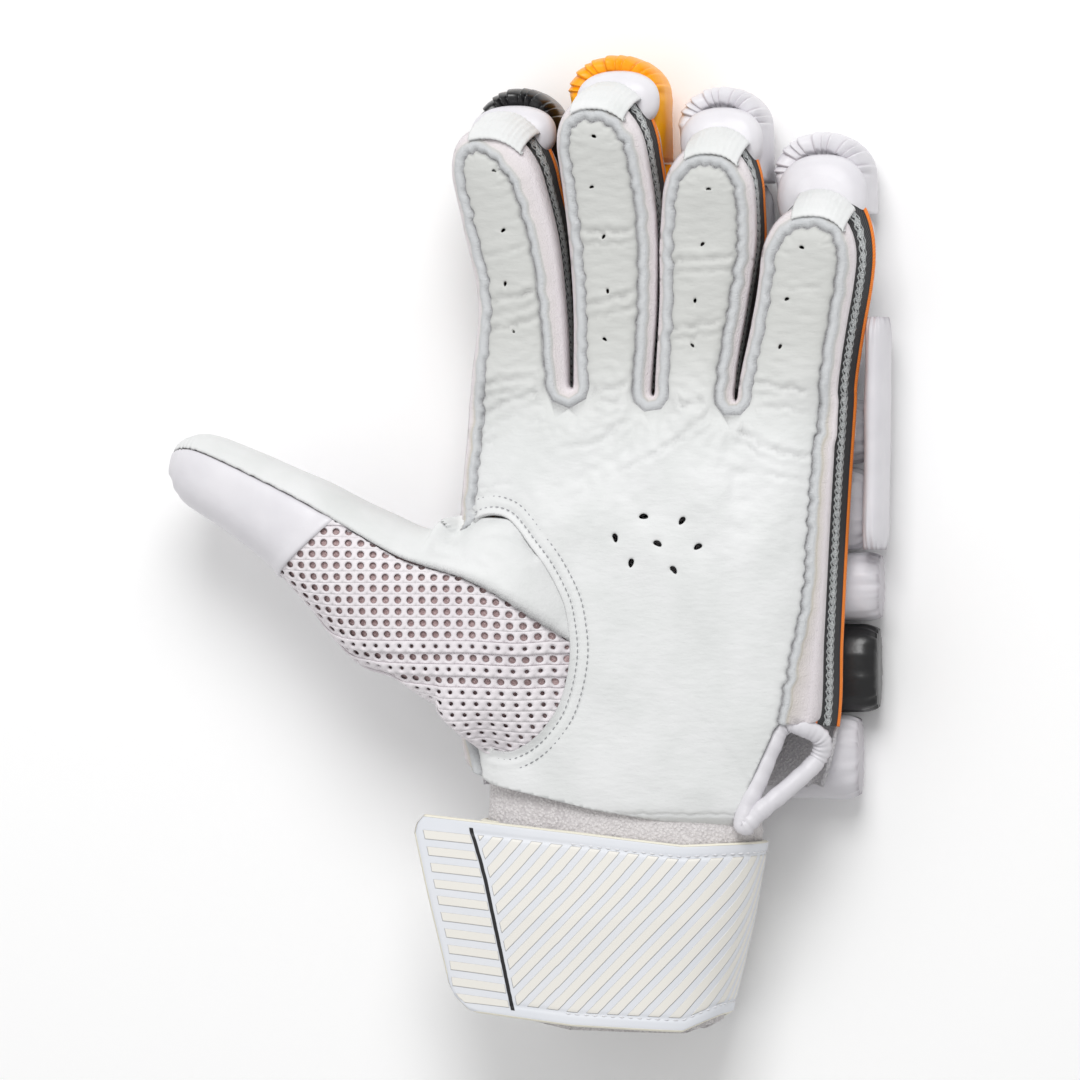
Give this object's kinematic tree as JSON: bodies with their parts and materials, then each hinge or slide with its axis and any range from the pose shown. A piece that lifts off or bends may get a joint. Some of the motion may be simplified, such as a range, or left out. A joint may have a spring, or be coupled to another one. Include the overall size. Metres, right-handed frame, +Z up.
{
  "type": "cricket batting glove",
  "caption": "Left-hand batting glove, palm up: hollow leather and cloth hand with padded finger and back rolls, a mesh thumb, towelling cuff and wide wrist strap.",
  "frame": {"origin": "on the surface that the glove lies on, under the middle of the palm, on the flat of the middle back roll", "axes": "+X towards the little finger's side, +Y towards the fingertips, +Z up out of the palm"},
  "size_m": [0.2177, 0.294, 0.0606],
  "materials": {
    "palm_leather": "matte",
    "back_cloth": "matte",
    "side_tape": "matte",
    "thumb_mesh": "matte",
    "white_cover": "satin",
    "black_cover": "satin",
    "orange_cover": "satin",
    "towelling": "matte",
    "strap": "satin"
  },
  "bodies": {
    "root": {"palm_leather": "palm_leather", "back_cloth": "back_cloth", "side_tape_index": "side_tape", "side_tape_middle": "side_tape", "side_tape_ring": "side_tape", "side_tape_little": "side_tape", "thumb_leather": "palm_leather", "thumb_mesh": "thumb_mesh", "thumb_tip_cover": "white_cover", "thumb_guard_base": "white_cover", "thumb_guard_tip": "white_cover", "roll_base_index": "white_cover", "roll_middle_index": "white_cover", "tip_pad_index": "black_cover", "tip_band_index": "white_cover", "tip_loop_index": "palm_leather", "roll_base_middle": "white_cover", "roll_middle_middle": "white_cover", "tip_pad_middle": "orange_cover", "tip_band_middle": "white_cover", "tip_loop_middle": "palm_leather", "roll_base_ring": "white_cover", "roll_middle_ring": "white_cover", "tip_pad_ring": "white_cover", "tip_band_ring": "white_cover", "tip_loop_ring": "palm_leather", "roll_base_little": "white_cover", "roll_middle_little": "white_cover", "tip_pad_little": "white_cover", "tip_band_little": "white_cover", "tip_loop_little": "palm_leather", "back_roll_knuckle": "white_cover", "back_roll_upper": "white_cover", "back_roll_middle": "white_cover", "back_roll_lower": "black_cover", "back_roll_wrist": "white_cover", "side_guard": "white_cover", "wrist_cuff": "towelling", "wrist_strap": "strap", "vent_binding": "white_cover"}
  },
  "joints": []
}
